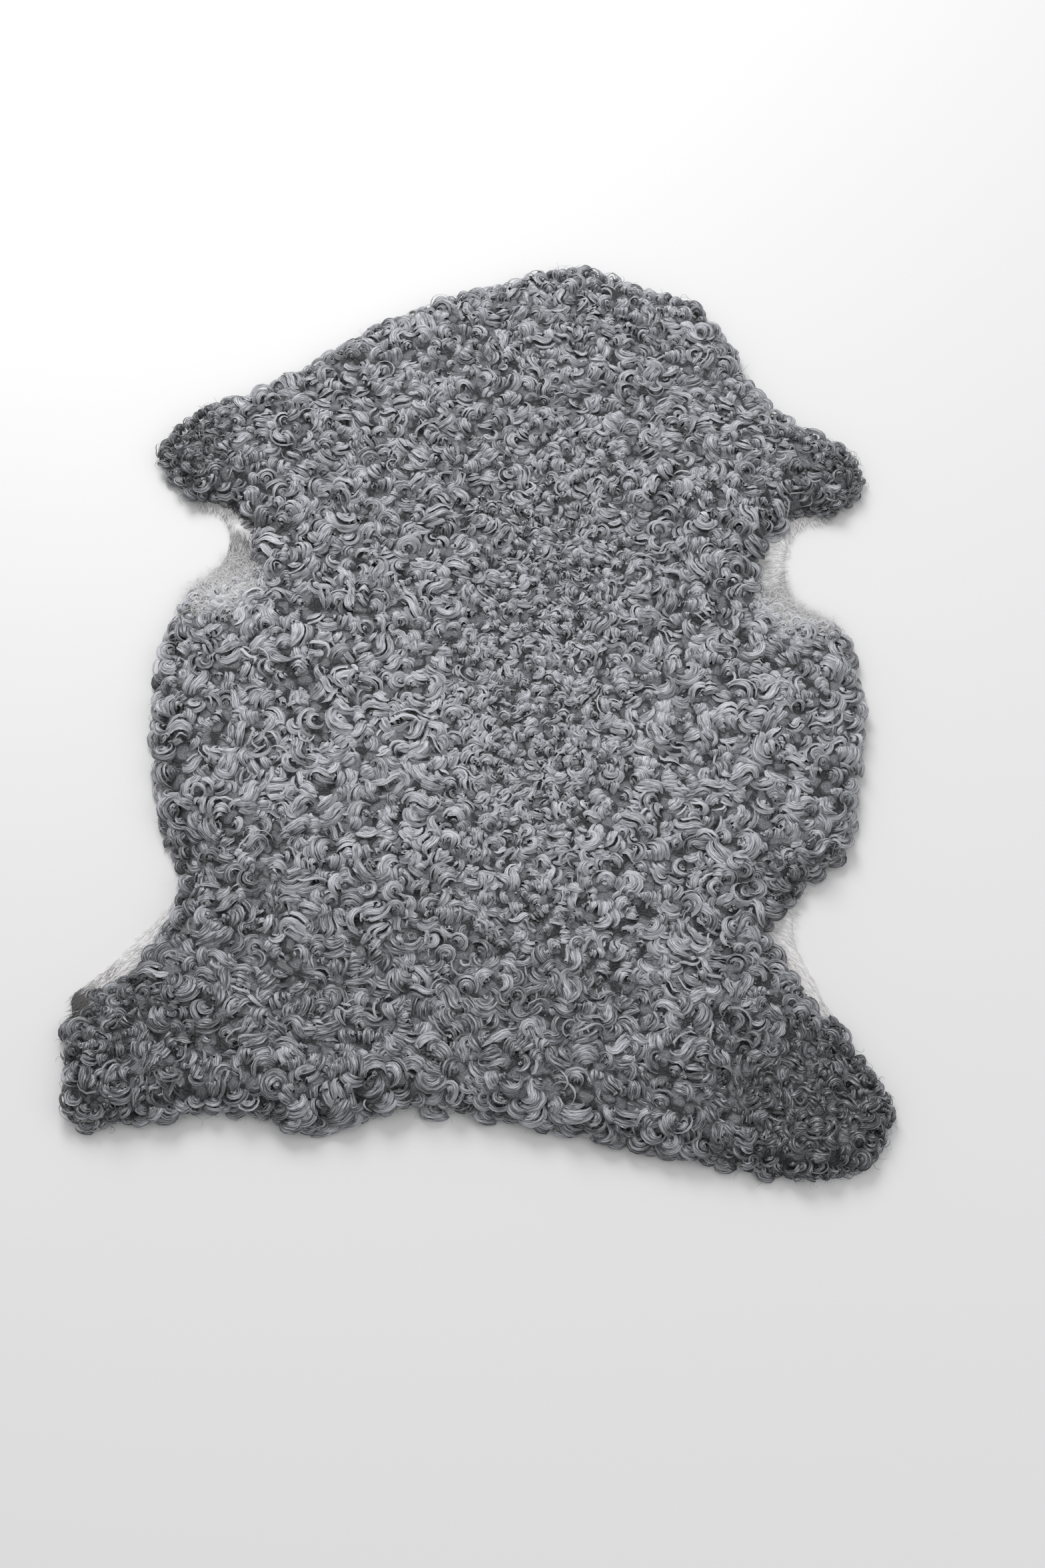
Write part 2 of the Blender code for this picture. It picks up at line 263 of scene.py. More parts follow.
# Values laid on a grid over the rug, read anywhere between its places.
class Field:
    def __init__(self, pitch=0.004, half=0.62):
        self.pitch, self.half = pitch, half
        self.count = int(2 * half / pitch) + 1
        side = np.linspace(-half, half, self.count)
        self.x, self.y = np.meshgrid(side, side, indexing="ij")
        self.layers = {}

    def read(self, name, x, y):
        column = np.clip((np.asarray(x) + self.half) / self.pitch, 0, self.count - 1.001)
        row = np.clip((np.asarray(y) + self.half) / self.pitch, 0, self.count - 1.001)
        i, j = column.astype(int), row.astype(int)
        a, b = column - i, row - j
        layer = self.layers[name]
        low = mixed(layer[i, j], layer[i + 1, j], a)
        high = mixed(layer[i, j + 1], layer[i + 1, j + 1], a)
        return mixed(low, high, b)


outline = outlineCurve()
field = Field()


def treeOf(places):
    tree = kdtree.KDTree(len(places))
    for i, place in enumerate(places):
        tree.insert((place[0], place[1], 0.0), i)
    tree.balance()
    return tree


# How far each place is inside the outline, and how the fleece is there.
def fillField():
    tree = treeOf(outline)
    shape = field.x.shape
    inset, bare, lock = np.zeros(shape), np.zeros(shape), np.zeros(shape)
    outX, outY = np.zeros(shape), np.zeros(shape)
    swell, swirl = np.zeros(shape), np.zeros(shape)
    elsewhere = Vector((0, 0, 7.5))  # so that the swirls don't follow the swells
    for i in range(shape[0]):
        for j in range(shape[1]):
            x, y = field.x[i, j], field.y[i, j]
            found, index, away = tree.find((x, y, 0.0))
            sample = outline[index]
            side = (x - sample[0]) * sample[2] + (y - sample[1]) * sample[3]
            inset[i, j] = -away if side > 0 else away
            outX[i, j], outY[i, j] = sample[2], sample[3]
            bare[i, j], lock[i, j] = sample[4], sample[5]
            spot = Vector((x, y, 0.0))
            swell[i, j] = (
                noise.noise(spot / fleece["swellLength"]) * fleece["swell"]
                + noise.noise(spot / fleece["clumpLength"]) * fleece["clump"]
            )
            swirl[i, j] = noise.noise(spot / fleece["swirlLength"] + elsewhere) * 4 * math.pi
    field.layers.update(inset=inset, outX=outX, outY=outY, bare=softened(bare, 6), lock=lock)
    field.layers.update(swell=swell, swirl=swirl)
    for column, name in enumerate(("size", "pile", "tone", "flow")):
        base = 0.0 if name in ("tone", "flow") else 1.0
        total = np.full(shape, base)
        for row in fleeceZones:
            away = np.hypot((field.x - row[1]) / row[3], (field.y - row[2]) / row[4])
            total += row[5 + column] * (1 - smooth((away - fleece["zoneCore"]) / fleece["zoneFade"]))
        field.layers[name] = total


def softened(layer, times):
    for _ in range(times):
        padded = np.pad(layer, 1, mode="edge")
        layer = (
            padded[1:-1, 1:-1] * 2 + padded[:-2, 1:-1] + padded[2:, 1:-1]
            + padded[1:-1, :-2] + padded[1:-1, 2:]
        ) / 6
    return layer


# Height of the tops of the curls.
def pileAt(x, y):
    inside = field.read("inset", x, y) - field.read("bare", x, y)
    rise = np.sin(np.pi / 2 * np.clip(inside / fleece["rise"], 0.0, 1.0))
    low = mixed(fleece["rimPile"], fleece["skin"], smooth(field.read("bare", x, y) / fleece["bareEdge"]))
    full = fleece["pile"] * field.read("pile", x, y) + field.read("swell", x, y)
    return mixed(low, full, rise)


fillField()
print("outline and fleece zones are laid out")


# Materials

# A socket, so that sums and products of sockets add their Math nodes.
class Value:
    def __init__(self, tree, socket):
        self.tree, self.socket = tree, socket

    def __add__(self, other):
        return mathNode(self.tree, "ADD", self, other)

    def __sub__(self, other):
        return mathNode(self.tree, "SUBTRACT", self, other)

    def __rsub__(self, other):
        return mathNode(self.tree, "SUBTRACT", other, self)

    def __mul__(self, other):
        return mathNode(self.tree, "MULTIPLY", self, other)


# Adds one node, sets its settings first and then its sockets, and wraps its output.
def addNode(tree, kind, settings=None, inputs=None, output=0):
    node = tree.nodes.new(kind)
    for name, value in (settings or {}).items():
        if name == "stops":
            ramp = node.color_ramp
            while len(ramp.elements) < len(value):
                ramp.elements.new(1.0)
            for element, (position, color) in zip(ramp.elements, value):
                element.position = position
                element.color = (*color, 1.0)
        else:
            setattr(node, name, value)
    for name, value in (inputs or {}).items():
        if isinstance(value, Value):
            tree.links.new(value.socket, node.inputs[name])
        else:
            node.inputs[name].default_value = value
    return Value(tree, node.outputs[output])


def mathNode(tree, operation, *values):
    return addNode(tree, "ShaderNodeMath", {"operation": operation}, dict(enumerate(values)))


# The x and y of a vector.
def splitNode(tree, vector):
    return [addNode(tree, "ShaderNodeSeparateXYZ", None, {0: vector}, side) for side in (0, 1)]


def noiseNode(tree, place, scale, detail, roughness, dimensions="3D", output=0):
    return addNode(
        tree, "ShaderNodeTexNoise", {"noise_dimensions": dimensions},
        {"Vector": place, "Scale": scale, "Detail": detail, "Roughness": roughness}, output,
    )


# Goes smoothly from low to high as value goes from start to end.
def fadeNode(tree, value, start, end, low, high):
    return addNode(
        tree, "ShaderNodeMapRange", {"interpolation_type": "SMOOTHSTEP"},
        {0: value, 1: start, 2: end, 3: low, 4: high},
    )


# Full amount up to near from a place on the skin, and nought from far on.
def patchNode(tree, place, x, y, near, far, amount):
    away = addNode(
        tree, "ShaderNodeVectorMath", {"operation": "DISTANCE"},
        {0: place, 1: (x, y, skin["thick"])}, "Value",
    )
    return fadeNode(tree, away, near, far, amount, 0.0)


def newMaterial(name, roughness, sheen, specular):
    material = bpy.data.materials.new(name)
    material.use_nodes = True
    shader = material.node_tree.nodes["Principled BSDF"]
    shader.inputs["Roughness"].default_value = roughness
    shader.inputs["Sheen Weight"].default_value = sheen
    shader.inputs["Specular IOR Level"].default_value = specular
    return material, material.node_tree


# Its colour is that of the ramp at light, times shade: painted shade on the wool and underwool, darker
# patches on the skin.
def finishMaterial(light, stops, shade, strength, distance, height):
    tree = light.tree
    shader = tree.nodes["Principled BSDF"]
    color = addNode(tree, "ShaderNodeValToRGB", {"stops": stops}, {0: light})
    shaded = addNode(tree, "ShaderNodeVectorMath", {"operation": "SCALE"}, {0: color, "Scale": shade})
    bump = addNode(
        tree, "ShaderNodeBump", None, {"Strength": strength, "Distance": distance, "Height": height}
    )
    tree.links.new(shaded.socket, shader.inputs["Base Color"])
    tree.links.new(bump.socket, shader.inputs["Normal"])


wool = {
    "columns": 32,  # tones that a strand can have, side by side in its map
    "roughness": 0.66,
    "sheen": 0.20,
    "specular": 0.18,
    "stops": [
        (0.00, (0.036, 0.037, 0.040)),
        (0.25, (0.125, 0.127, 0.138)),
        (0.50, (0.305, 0.311, 0.335)),
        (0.75, (0.480, 0.488, 0.524)),
        (1.00, (0.690, 0.699, 0.740)),
    ],
    "paleStops": [
        (0.00, (0.060, 0.055, 0.054)),
        (0.25, (0.190, 0.180, 0.178)),
        (0.50, (0.420, 0.405, 0.405)),
        (0.75, (0.660, 0.650, 0.655)),
        (1.00, (0.860, 0.855, 0.865)),
    ],
    "locksAcross": 2.0,  # broad streaks across a strand
    "locksAlong": 1.3,
    "fibresAcross": 7.6,  # and fine ones
    "fibresAlong": 3.0,
    "lockDepth": 0.86,
    "fibreDepth": 2.40,
    # edgeShade is painted shade along both edges of every strand
    "edgeShade": 0.13,
    # crestLight is a painted highlight in the middle of a strand's length, with painted shade towards its
    # ends
    "crestLight": 0.20,
    # rootShade and rootLength: painted shade over the first part of a strand from its root, deep in the
    # fleece
    "rootShade": 0.60,
    "rootLength": 0.22,
    "bump": 0.0007,
    "roundness": 0.25,  # how far a strand is shaded as round, and not as a flat part of its lock
}


# Colour by a strand's own map: its tone across, and root to tip along, with painted shade at its edges and
# roots and a painted highlight midway along it.
# depth is how strong the streaks, the painted highlight and the painted edge shade are, and rootShade how
# dark the painted shade at the roots is.
def woolMaterial(name, stops, depth=1.0, rootShade=wool["rootShade"]):
    material, tree = newMaterial(name, wool["roughness"], wool["sheen"], wool["specular"])
    tone, along = splitNode(tree, addNode(tree, "ShaderNodeUVMap", {"uv_map": "OFBake"}))

    def streaks(numberAcross, numberAlong):
        spot = addNode(
            tree, "ShaderNodeCombineXYZ", None,
            {0: tone * (wool["columns"] * numberAcross), 1: along * numberAlong},
        )
        return noiseNode(tree, spot, 1.0, 3.0, 0.72, "2D") - 0.5

    broad = streaks(wool["locksAcross"], wool["locksAlong"])
    fine = streaks(wool["fibresAcross"], wool["fibresAlong"])
    # across runs from -1 to 1 over a strand, and edge darkens its sides as painted shade
    across = mathNode(tree, "FRACT", tone * wool["columns"]) * 2 - 1
    edge = mathNode(tree, "POWER", across * across, 2.0)
    # crest is the painted highlight midway along the strand, darker towards both ends
    crest = mathNode(tree, "SINE", along * math.pi) - 0.5
    light = tone + broad * (wool["lockDepth"] * depth) + fine * (wool["fibreDepth"] * depth)
    light = light + crest * (wool["crestLight"] * depth) - edge * (wool["edgeShade"] * depth)
    # painted shade towards the root
    root = fadeNode(tree, along, 0.0, wool["rootLength"], rootShade, 1.0)
    finishMaterial(light, stops, root, 0.6, wool["bump"], broad * 0.6 + fine * 0.4)
    return material


# One strand of wool, modelled once for each number of stations along it

# A long three-sided spike along +Z, cut across at each station.
def modelStrand(stations):
    deselectAll()
    bpy.ops.mesh.primitive_cone_add(vertices=3, radius1=1.0, radius2=0.0, depth=1.0, location=(0, 0, 0.5))
    bpy.ops.object.transform_apply(location=True)
    bpy.ops.object.mode_set(mode="EDIT")
    for step in range(1, stations - 1):
        bpy.ops.mesh.select_all(action="SELECT")
        bpy.ops.mesh.bisect(plane_co=(0, 0, step / (stations - 1)), plane_no=(0, 0, 1))
    bpy.ops.object.mode_set(mode="OBJECT")
    return bpy.context.object


# The strand's corners and faces, for copying: station, across and height of each corner.
def readStrand(stations):
    strand = modelStrand(stations)
    mesh = strand.data
    spots = np.array([vertex.co for vertex in mesh.vertices])
    girth = np.maximum(1 - spots[:, 2], 0.001)
    across = spots[:, 0] / girth / math.cos(math.radians(30))
    height = spots[:, 1] / girth
    sizes = np.array([len(face.vertices) for face in mesh.polygons])
    loops = np.array([loop.vertex_index for loop in mesh.loops])
    foot = np.array([all(spots[v][2] < 0.001 for v in face.vertices) for face in mesh.polygons])
    below = np.array([face.normal[1] < -0.8 for face in mesh.polygons])
    lift = np.repeat(foot, sizes) * (height[loops] > 0.5) * 0.03  # gives the foot's face an area in the map
    bpy.data.objects.remove(strand, do_unlink=True)
    return {
        "station": np.rint(spots[:, 2] * (stations - 1)).astype(int),
        "across": across,
        "height": height,
        "loops": loops,
        "sizes": sizes,
        "foot": np.repeat(foot, sizes)[:, None],
        "below": np.repeat(below, sizes)[:, None],
        "starts": np.cumsum(sizes) - sizes,
        "u": 0.5 + 0.42 * across[loops],  # stays clear of the columns beside it
        "v": np.clip(spots[loops, 2] + lift, 0.0, 1.0),
        "triangles": int((sizes - 2).sum()),
    }


strands = {}


def unit(vectors):
    return vectors / np.maximum(np.linalg.norm(vectors, axis=-1, keepdims=True), 1e-9)


# A bunch of strands along points, each point's crest turned to up. Their normals are given, so
# that the strands of a lock are shaded as one, with the streaks as its hair.
def combed(points, up, width, thick, tone):
    stations = points.shape[1]
    if stations not in strands:
        strands[stations] = readStrand(stations)
    strand = strands[stations]
    along = unit(np.gradient(points, axis=1))
    side = unit(np.cross(up, along))
    crest = np.cross(along, side)
    station = strand["station"]
    corners = (
        points[:, station]
        + side[:, station] * (strand["across"] * width[:, station] / 2)[..., None]
        + crest[:, station] * (strand["height"] * thick * width[:, station] / 2)[..., None]
    )
    loops = strand["loops"]
    along, side, crest = (line[:, station[loops]] for line in (along, side, crest))
    normal = unit(crest + side * (strand["across"][loops] * wool["roundness"])[..., None])
    normal = np.where(strand["below"], -crest, normal)
    normal = np.where(strand["foot"], -along, normal)
    first, second, third = (corners[:, loops[strand["starts"] + turn]] for turn in (0, 1, 2))
    facing = np.repeat(np.cross(second - first, third - first), strand["sizes"], axis=1)
    normal = np.where((facing * normal).sum(-1, keepdims=True) < 0, -normal, normal)  # where it folds over
    column = np.clip(np.rint(tone * (wool["columns"] - 1)), 0, wool["columns"] - 1)
    u = (column[:, None] + strand["u"][None]) / wool["columns"]
    v = np.broadcast_to(strand["v"][None], u.shape)
    uv = np.stack((u, v), -1)
    return {"strand": strand, "corners": corners, "map": uv, "normals": normal, "y": points[:, 0, 1]}


# One mesh of all the strands in some bunches.
def joinStrands(name, bunches, material):
    corners, loops, sizes, uvs, normals, first = [], [], [], [], [], 0
    for bunch in bunches:
        count, each = bunch["corners"].shape[:2]
        corners.append(bunch["corners"].reshape(-1, 3))
        start = first + np.arange(count)[:, None] * each
        loops.append((start + bunch["strand"]["loops"][None]).ravel())
        sizes.append(np.tile(bunch["strand"]["sizes"], count))
        uvs.append(bunch["map"].reshape(-1, 2))
        normals.append(bunch["normals"].reshape(-1, 3))
        first += count * each
    parts = (corners, loops, sizes, uvs, normals)
    corners, loops, sizes, uvs, normals = (np.concatenate(part) for part in parts)
    mesh = bpy.data.meshes.new(name)
    mesh.vertices.add(len(corners))
    mesh.vertices.foreach_set("co", corners.astype(np.float32).ravel())
    mesh.loops.add(len(loops))
    mesh.loops.foreach_set("vertex_index", loops.astype(np.int32))
    mesh.polygons.add(len(sizes))
    mesh.polygons.foreach_set("loop_start", (np.cumsum(sizes) - sizes).astype(np.int32))
    mesh.update(calc_edges=True)
    mesh.uv_layers.new(name="OFBake").data.foreach_set("uv", uvs.astype(np.float32).ravel())
    mesh.shade_smooth()
    bend = mesh.attributes.new("custom_normal", "FLOAT_VECTOR", "CORNER")
    bend.data.foreach_set("vector", normals.astype(np.float32).ravel())
    mesh.materials.append(material)
    piece = bpy.data.objects.new(name, mesh)
    bpy.context.scene.collection.objects.link(piece)
    print(name, len(sizes), "faces,", int((sizes - 2).sum()), "triangles")
    return piece


# The locks

# Lengths in metres and turns in degrees. share is how many of the locks are of this kind, where
# they lie freely and where they lie in rows. turn bends a lock one way and counter back again in
# its second half. root, top and tip are shares of the pile's height, and crown is how far the
# lock's sides are lower than its middle.
lockKinds = {
    "rosette": {
        "share": (0.22, 0.08),
        "length": 0.038, "turn": (270, 370), "counter": 0, "tighten": 1.2,
        "width": 0.0122, "strands": 3, "stations": 14,
        "root": 0.68, "top": 1.0, "tip": 0.76, "rise": 0.35, "fall": 0.55, "crown": 0.45,
    },
    "hook": {
        "share": (0.36, 0.26),
        "length": 0.032, "turn": (150, 240), "counter": 0, "tighten": 1.3,
        "width": 0.0142, "strands": 4, "stations": 11,
        "root": 0.66, "top": 1.02, "tip": 0.70, "rise": 0.40, "fall": 0.50, "crown": 0.45,
    },
    "wave": {
        "share": (0.18, 0.30),
        "length": 0.041, "turn": (90, 140), "counter": -230, "tighten": 1.0,
        "width": 0.0128, "strands": 3, "stations": 14,
        "root": 0.66, "top": 1.0, "tip": 0.68, "rise": 0.30, "fall": 0.60, "crown": 0.45,
    },
    "shell": {
        "share": (0.24, 0.36),
        "length": 0.028, "turn": (80, 150), "counter": 0, "tighten": 1.4,
        "width": 0.022, "strands": 5, "stations": 9,
        "root": 0.50, "top": 1.05, "tip": 0.58, "rise": 0.50, "fall": 0.50, "crown": 0.25,
    },
}

combing = {
    "seed": 4,
    "halfField": (0.44, 0.56),  # locks are tried this far each way
    "tries": 120000,
    "spacing": 0.0138,  # between locks of size 1
    "crowding": 0.86,  # least spacing, as a share of it
    "smallest": 0.4,
    "sizes": (0.72, 1.30),
    "heights": (0.88, 1.06),
    "lengths": (0.88, 1.12),
    "ends": (0.80, 1.06),  # how far along a lock its strands reach
    "counters": (0.8, 1.2),
    "widths": (0.65, 1.35),
    "beats": (1.0, 2.6),  # waves along a strand
    "rimInset": 0.0125,
    "ragged": (0.45, 1.35),  # least and most of the inset
    "rimSpacing": 0.0140,
    "rimSize": 0.82,
    "rimReach": 0.0119,  # how much room a lock at the rim takes
    "rimGap": 0.004,  # and how much deeper than them the inner locks start
    "underInset": 0.0085,
    "underSpacing": 0.0125,
    "underSize": 0.72,
    "underHeight": 0.62,
    "rimRosettes": 0.55,  # the others at the rim are hooks
    "rowSpread": 0.45,  # radians that headings stray in rows
    "freeSpread": 0.9,  # and elsewhere
    "tone": 0.408,
    "toneSpread": 0.075,
    # painted shade: locks lower in the fleece's swells are made darker
    "hollowPaintedShade": 11.0,  # how much darker a metre lower in the fleece's swells
    "strandTone": 0.055,
    "unlike": 0.13,  # how far the strands of a lock bend unlike each other
    "wobble": 0.0005,
    "overlap": 1.60,  # strand widths over their spacing
    "thick": 0.20,
    "roll": 0.24,  # how far strands are turned about their own length
    "flyaways": 0.09,  # share of the strands that stray from their lock
    "strayWidth": 0.35,
    "strayTone": 0.16,
    "strayHeight": 0.0010,
    "margin": 0.004,  # strands may reach this far past the outline
    "pullBack": 0.75,  # and past that are drawn back by this share
    "clearance": 0.0016,  # over the skin or the floor
    "skirt": 0.010,  # width over which the strands at the rim come down to the floor
}


# Places for locks, as far apart as the curls there are wide.
def spreadSites(luck, given):
    taken, cell = {}, 0.008

    def crowded(x, y, reach):
        i, j, span = int(x // cell), int(y // cell), int(reach // cell) + 1
        for a in range(i - span, i + span + 1):
            for b in range(j - span, j + span + 1):
                for other in taken.get((a, b), ()):
                    if math.hypot(other[0] - x, other[1] - y) < (reach + other[2]) / 2:
                        return True
        return False

    for x, y, reach in given:
        taken.setdefault((int(x // cell), int(y // cell)), []).append((x, y, reach))
    half = np.array(combing["halfField"])
    tries = luck.uniform(-half, half, (combing["tries"], 2))
    inside = field.read("inset", *tries.T) - field.read("bare", *tries.T)
    reaches = combing["spacing"] * np.maximum(field.read("size", *tries.T), combing["smallest"])
    sites = []
    for (x, y), deep, reach in zip(tries, inside, reaches * combing["crowding"]):
        if deep > combing["rimInset"] + combing["rimGap"] and not crowded(x, y, reach):
            taken.setdefault((int(x // cell), int(y // cell)), []).append((x, y, reach))
            sites.append((x, y))
    return np.array(sites)


# Places along the wool's edge, each with the outward direction.
def rimSites(luck, spacing, inset):
    sites, due = [], 0.0
    for i, (x, y, outX, outY, bare, lock) in enumerate(outline):
        due -= math.hypot(x - outline[i - 1][0], y - outline[i - 1][1])
        if due > 0:
            continue
        due += spacing * max(float(field.read("size", x, y)), 0.5)
        deep = bare + inset * luck.uniform(*combing["ragged"])
        sites.append((x - outX * deep, y - outY * deep, math.atan2(outY, outX)))
    return np.array(sites)


# The strands of some locks of one kind, centred on their places.
def combLocks(kindName, x, y, heading, hand, size, pile, tone, luck):
    kind = lockKinds[kindName]
    count, stations = len(x), kind["stations"]
    shape = (count, kind["strands"], 1)
    heading, hand, size, pile = (values[:, None, None] for values in (heading, hand, size, pile))
    t = np.linspace(0.0, 1.0, stations)[None, None]
    end = luck.uniform(*combing["ends"], shape)
    turn = np.radians(luck.uniform(*kind["turn"], (count, 1, 1)))
    counter = np.radians(kind["counter"]) * luck.uniform(*combing["counters"], (count, 1, 1))
    length = kind["length"] * size * luck.uniform(*combing["lengths"], (count, 1, 1))
    unlike = luck.normal(1.0, combing["unlike"], shape)

    def bearing(share, vary=1.0):
        bend = turn * share ** kind["tighten"] + counter * smooth((share - 0.4) / 0.6)
        return heading + hand * bend * vary

    # Places along a strand from its root, which is at nought
    def walk(share, vary=1.0):
        middle = bearing((share[..., 1:] + share[..., :-1]) / 2, vary)
        step = length * np.diff(share, axis=-1)
        steps = np.stack((np.cos(middle) * step, np.sin(middle) * step), -1)
        start = np.zeros(steps.shape[:2] + (1, 2))
        return np.concatenate((start, np.cumsum(steps, 2)), 2)

    share = t * end
    whole = walk(np.broadcast_to(t, (count, 1, stations)))
    centre = whole[:, :, int(stations * 0.3):].mean(2, keepdims=True)  # of the lock's curled part
    path = walk(share, unlike) - centre + np.stack((x, y), -1)[:, None, None]

    # Each strand's rank across the lock, from -1 to 1, and which strands stray from it
    rank = np.broadcast_to(np.linspace(-1.0, 1.0, kind["strands"])[None, :, None], shape)
    rank = rank + luck.uniform(-0.6, 0.6, shape) / kind["strands"]
    stray = luck.random(shape) < combing["flyaways"]
    wave = combing["wobble"] * np.where(stray, 2.2, 1.0)
    beat = luck.uniform(*combing["beats"], shape) * 2 * np.pi
    swing = wave * np.sin(beat * share + luck.uniform(0, fullTurn, shape))
    bob = wave * np.sin(beat * share + luck.uniform(0, fullTurn, shape))
    roll = luck.normal(0.0, combing["roll"], shape)

    # The lock is broadest in its middle, and no strand crosses the centre of a tight curl
    angle = bearing(share, unlike)
    left = np.stack((-np.sin(angle), np.cos(angle), np.zeros_like(angle)), -1)
    curve = np.gradient(angle, axis=2) / (length * end / (stations - 1))
    half = kind["width"] * size / 2
    spread = mixed(0.55, 1.0, smooth(share / 0.35)) * mixed(1.0, 0.55, smooth((share - 0.6) / 0.4))
    aside = rank * half * spread * np.where(stray, 1.25, 1.0)
    most = 0.86 / np.maximum(np.abs(curve), 1e-6)
    aside = np.where(aside * np.sign(curve) > most, np.sign(aside) * most, aside)

    root, top, tip = (pile * kind[name] for name in ("root", "top", "tip"))
    level = mixed(root, top, smooth(share / kind["rise"]))
    level = mixed(level, tip, smooth((share - kind["fall"]) / (1 - kind["fall"])))
    above = np.where(stray, combing["strayHeight"], 0.0) - kind["crown"] * half * rank ** 2
    up = np.array((0, 0, 1.0)) + left * (kind["crown"] * 1.3 * rank + roll)[..., None]
    points = np.concatenate((path, level[..., None]), -1)
    points = points + left * (aside + swing)[..., None]
    points[..., 2] += above + bob
    points = keptIn(points)

    width = combing["overlap"] * 2 * half / kind["strands"] * luck.uniform(*combing["widths"], shape)
    width = np.where(stray, width * combing["strayWidth"], width)
    taper = mixed(0.6, 1.0, smooth(t / 0.2)) * mixed(1.0, 0.22, smooth((t - 0.55) / 0.45))
    tones = tone[:, None] + luck.normal(0.0, combing["strandTone"], shape[:2])
    tones = tones + np.where(stray[..., 0], combing["strayTone"], 0.0)
    flat = (count * kind["strands"], stations)
    return combed(
        points.reshape(*flat, 3), np.broadcast_to(up, points.shape).reshape(*flat, 3),
        (width * taper).reshape(flat), combing["thick"], tones.reshape(-1),
    )


# Keeps strands above the skin or floor, and from reaching past the outline.
def keptIn(points):
    x, y = points[..., 0], points[..., 1]
    past = np.maximum(-field.read("inset", x, y) - combing["margin"], 0.0) * combing["pullBack"]
    points[..., 0] = x - field.read("outX", x, y) * past
    points[..., 1] = y - field.read("outY", x, y) * past
    floor = fleece["skin"] * smooth(field.read("inset", x, y) / combing["skirt"])
    points[..., 2] = np.maximum(points[..., 2], floor + combing["clearance"])
    return points


# A kind for each lock: more waves and shells where the fleece lies in rows.
def chooseKinds(flow, luck):
    shares = np.array([mixed(*kind["share"], flow) for kind in lockKinds.values()])
    edges = np.cumsum(shares / shares.sum(0), 0)
    return np.array(list(lockKinds))[(luck.random(len(flow))[None] > edges[:-1]).sum(0)]


def combFleece():
    luck = np.random.default_rng(combing["seed"])
    bunches = []
    rim = rimSites(luck, combing["rimSpacing"], combing["rimInset"])
    under = rimSites(luck, combing["underSpacing"], combing["underInset"])
    inner = spreadSites(luck, [(x, y, combing["rimReach"]) for x, y, way in rim])
    print("locks:", len(inner), "inner,", len(rim), "round the rim,", len(under), "under it")

    def settle(sites, heading, kinds, lift, small):
        x, y = sites[:, 0], sites[:, 1]
        size = np.maximum(field.read("size", x, y), combing["smallest"]) * small
        size = size * luck.uniform(*combing["sizes"], len(x))
        pile = pileAt(x, y) * lift * luck.uniform(*combing["heights"], len(x))
        # The swell term is painted shade, darker where the fleece dips
        tone = combing["tone"] + field.read("tone", x, y) + field.read("swell", x, y) * combing["hollowPaintedShade"]
        tone = tone + luck.normal(0, combing["toneSpread"], len(x))
        hand = np.where(luck.random(len(x)) < 0.5, 1.0, -1.0)
        for kindName in lockKinds:
            own = kinds == kindName
            if own.any():
                each = (values[own] for values in (x, y, heading, hand, size, pile, tone))
                bunches.append(combLocks(kindName, *each, luck))

    flow = np.clip(field.read("flow", *inner.T), 0, 1)
    level = np.where(luck.random(len(inner)) < 0.5, 0.0, np.pi)
    level = level + luck.normal(0, combing["rowSpread"], len(inner))
    free = field.read("swirl", *inner.T) + luck.normal(0, combing["freeSpread"], len(inner))
    heading = np.where(luck.random(len(inner)) < flow, level, free)
    settle(inner, heading, chooseKinds(flow, luck), 1.0, 1.0)
    edges = ((rim, 1.0, combing["rimSize"]), (under, combing["underHeight"], combing["underSize"]))
    for sites, lift, small in edges:
        heading = sites[:, 2] + luck.normal(0, combing["freeSpread"], len(sites))
        kinds = np.where(luck.random(len(sites)) < combing["rimRosettes"], "rosette", "hook")
        settle(sites, heading, kinds, lift, small)
    return bunches


def splitBunch(bunch, own):
    part = {name: bunch[name][own] for name in ("corners", "map", "normals", "y")}
    return {"strand": bunch["strand"], **part}


# The curls are split across the rug into these pieces, each up to this y.
bands = {
    "curls_rump": -0.40, "curls_loin": -0.23, "curls_middle": -0.06, "curls_ribs": 0.10,
    "curls_shoulders": 0.27, "curls_neck": 9.0,
}


def addCurls():
    bunches, low, pieces = combFleece(), -9.0, []
    material = woolMaterial("wool_strands", wool["stops"])
    for name, high in bands.items():
        own = [splitBunch(bunch, (bunch["y"] > low) & (bunch["y"] <= high)) for bunch in bunches]
        pieces.append(joinStrands(name, [bunch for bunch in own if len(bunch["y"])], material))
        low = high
    return pieces


# The skin and the dense wool at its foot

skin = {
    "grid": (0.90, 1.13),  # cut from, across and along
    "pitch": 0.0110,
    "thick": 0.0026,
    "edge": 0.0012,
    "fineFrom": 0.0008,  # width of bare strip from which the grid is cut finer
    "fineUnder": 0.012,  # and how far that goes on under the wool
    "foldStart": (-0.335, 0.141),
    "foldEnd": (-0.296, 0.122),
    "foldHeight": 0.0075,
    "foldSteep": 0.00252,  # width of its side towards the belly
    "foldGentle": 0.0063,  # and of the other
    "stops": [(0.25, (0.62, 0.60, 0.59)), (0.50, (0.76, 0.75, 0.75)), (0.80, (0.86, 0.855, 0.86))],
}

